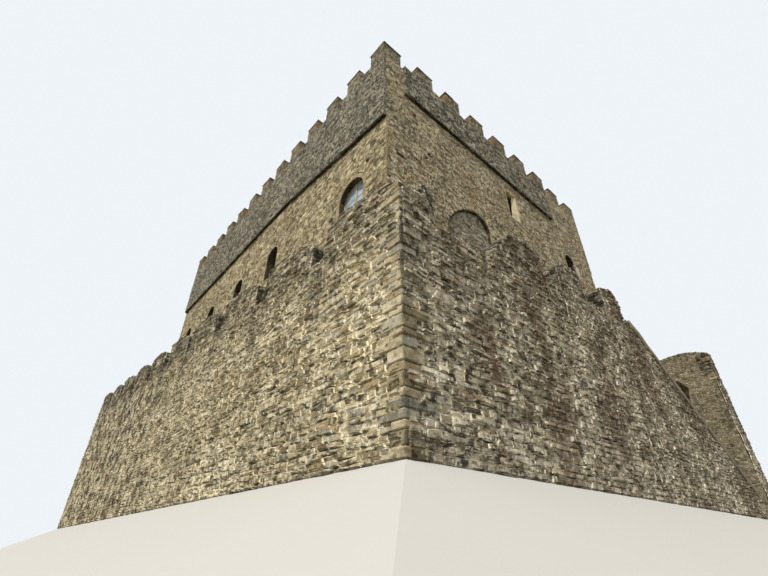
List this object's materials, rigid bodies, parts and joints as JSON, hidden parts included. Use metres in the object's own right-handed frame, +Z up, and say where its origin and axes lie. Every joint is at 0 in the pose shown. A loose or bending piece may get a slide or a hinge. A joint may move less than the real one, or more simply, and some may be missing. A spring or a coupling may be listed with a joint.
{
  "type": "castle keep with close curtain wall",
  "caption": "Square-cornered crenellated rubble-stone keep, hollow with floors and a hipped tiled roof, inside a close lower curtain wall with worn merlons, walks and a ramp.",
  "frame": {"origin": "centre of the plan of the curtain wall, at the foot of the walls", "axes": "+X towards the short right side, along the long front; +Y from the front to the rear; +Z up"},
  "size_m": [32.6, 24.4, 20.6],
  "materials": {
    "front_rubble": "warm ochre rubble masonry with pale mortar",
    "side_rubble": "grey-brown rubble masonry",
    "parapet_rubble": "weathered grey-brown rubble with lichen",
    "merlon_brick": "stone and brick with orange lichen",
    "coping_slab": "dark weathered slab",
    "curtain_rubble": "grey rubble masonry with light mortar",
    "walk_paving": "worn paving",
    "infill_stone": "grey rubble infill",
    "lime_plaster": "pale lime plaster",
    "roof_tile": "weathered clay tiles",
    "floor_timber": "old boards",
    "window_timber": "faded painted timber",
    "window_glass": "plain glass",
    "sill_stone": "dressed stone"
  },
  "bodies": {
    "root": {"keep_front_wall": "front_rubble", "keep_right_wall": "side_rubble", "keep_right_upper_wall": "side_rubble", "keep_right_wall_head": "side_rubble", "keep_rear_wall": "side_rubble", "keep_left_wall": "side_rubble", "front_parapet": "parapet_rubble", "right_parapet": "parapet_rubble", "rear_parapet": "parapet_rubble", "left_parapet": "parapet_rubble", "front_merlons": "merlon_brick", "right_merlons": "merlon_brick", "rear_merlons": "merlon_brick", "left_merlons": "merlon_brick", "front_copings": "coping_slab", "right_copings": "coping_slab", "rear_copings": "coping_slab", "left_copings": "coping_slab", "roof_front": "roof_tile", "roof_right": "roof_tile", "roof_rear": "roof_tile", "roof_left": "roof_tile", "main_floor": "floor_timber", "upper_floor": "floor_timber", "walled_up_arch": "infill_stone", "slot_plaster": "lime_plaster", "window_frame": "window_timber", "window_glass": "window_glass", "window_sill": "sill_stone", "curtain_front_wall": "curtain_rubble", "curtain_right_wall": "curtain_rubble", "curtain_rear_wall": "curtain_rubble", "curtain_left_wall": "curtain_rubble", "curtain_front_parapet": "curtain_rubble", "curtain_right_parapet": "curtain_rubble", "curtain_rear_parapet": "curtain_rubble", "curtain_left_parapet": "curtain_rubble", "front_walk": "walk_paving", "right_walk": "walk_paving", "rear_walk": "walk_paving", "left_walk": "walk_paving", "ramp": "walk_paving"}
  },
  "joints": []
}
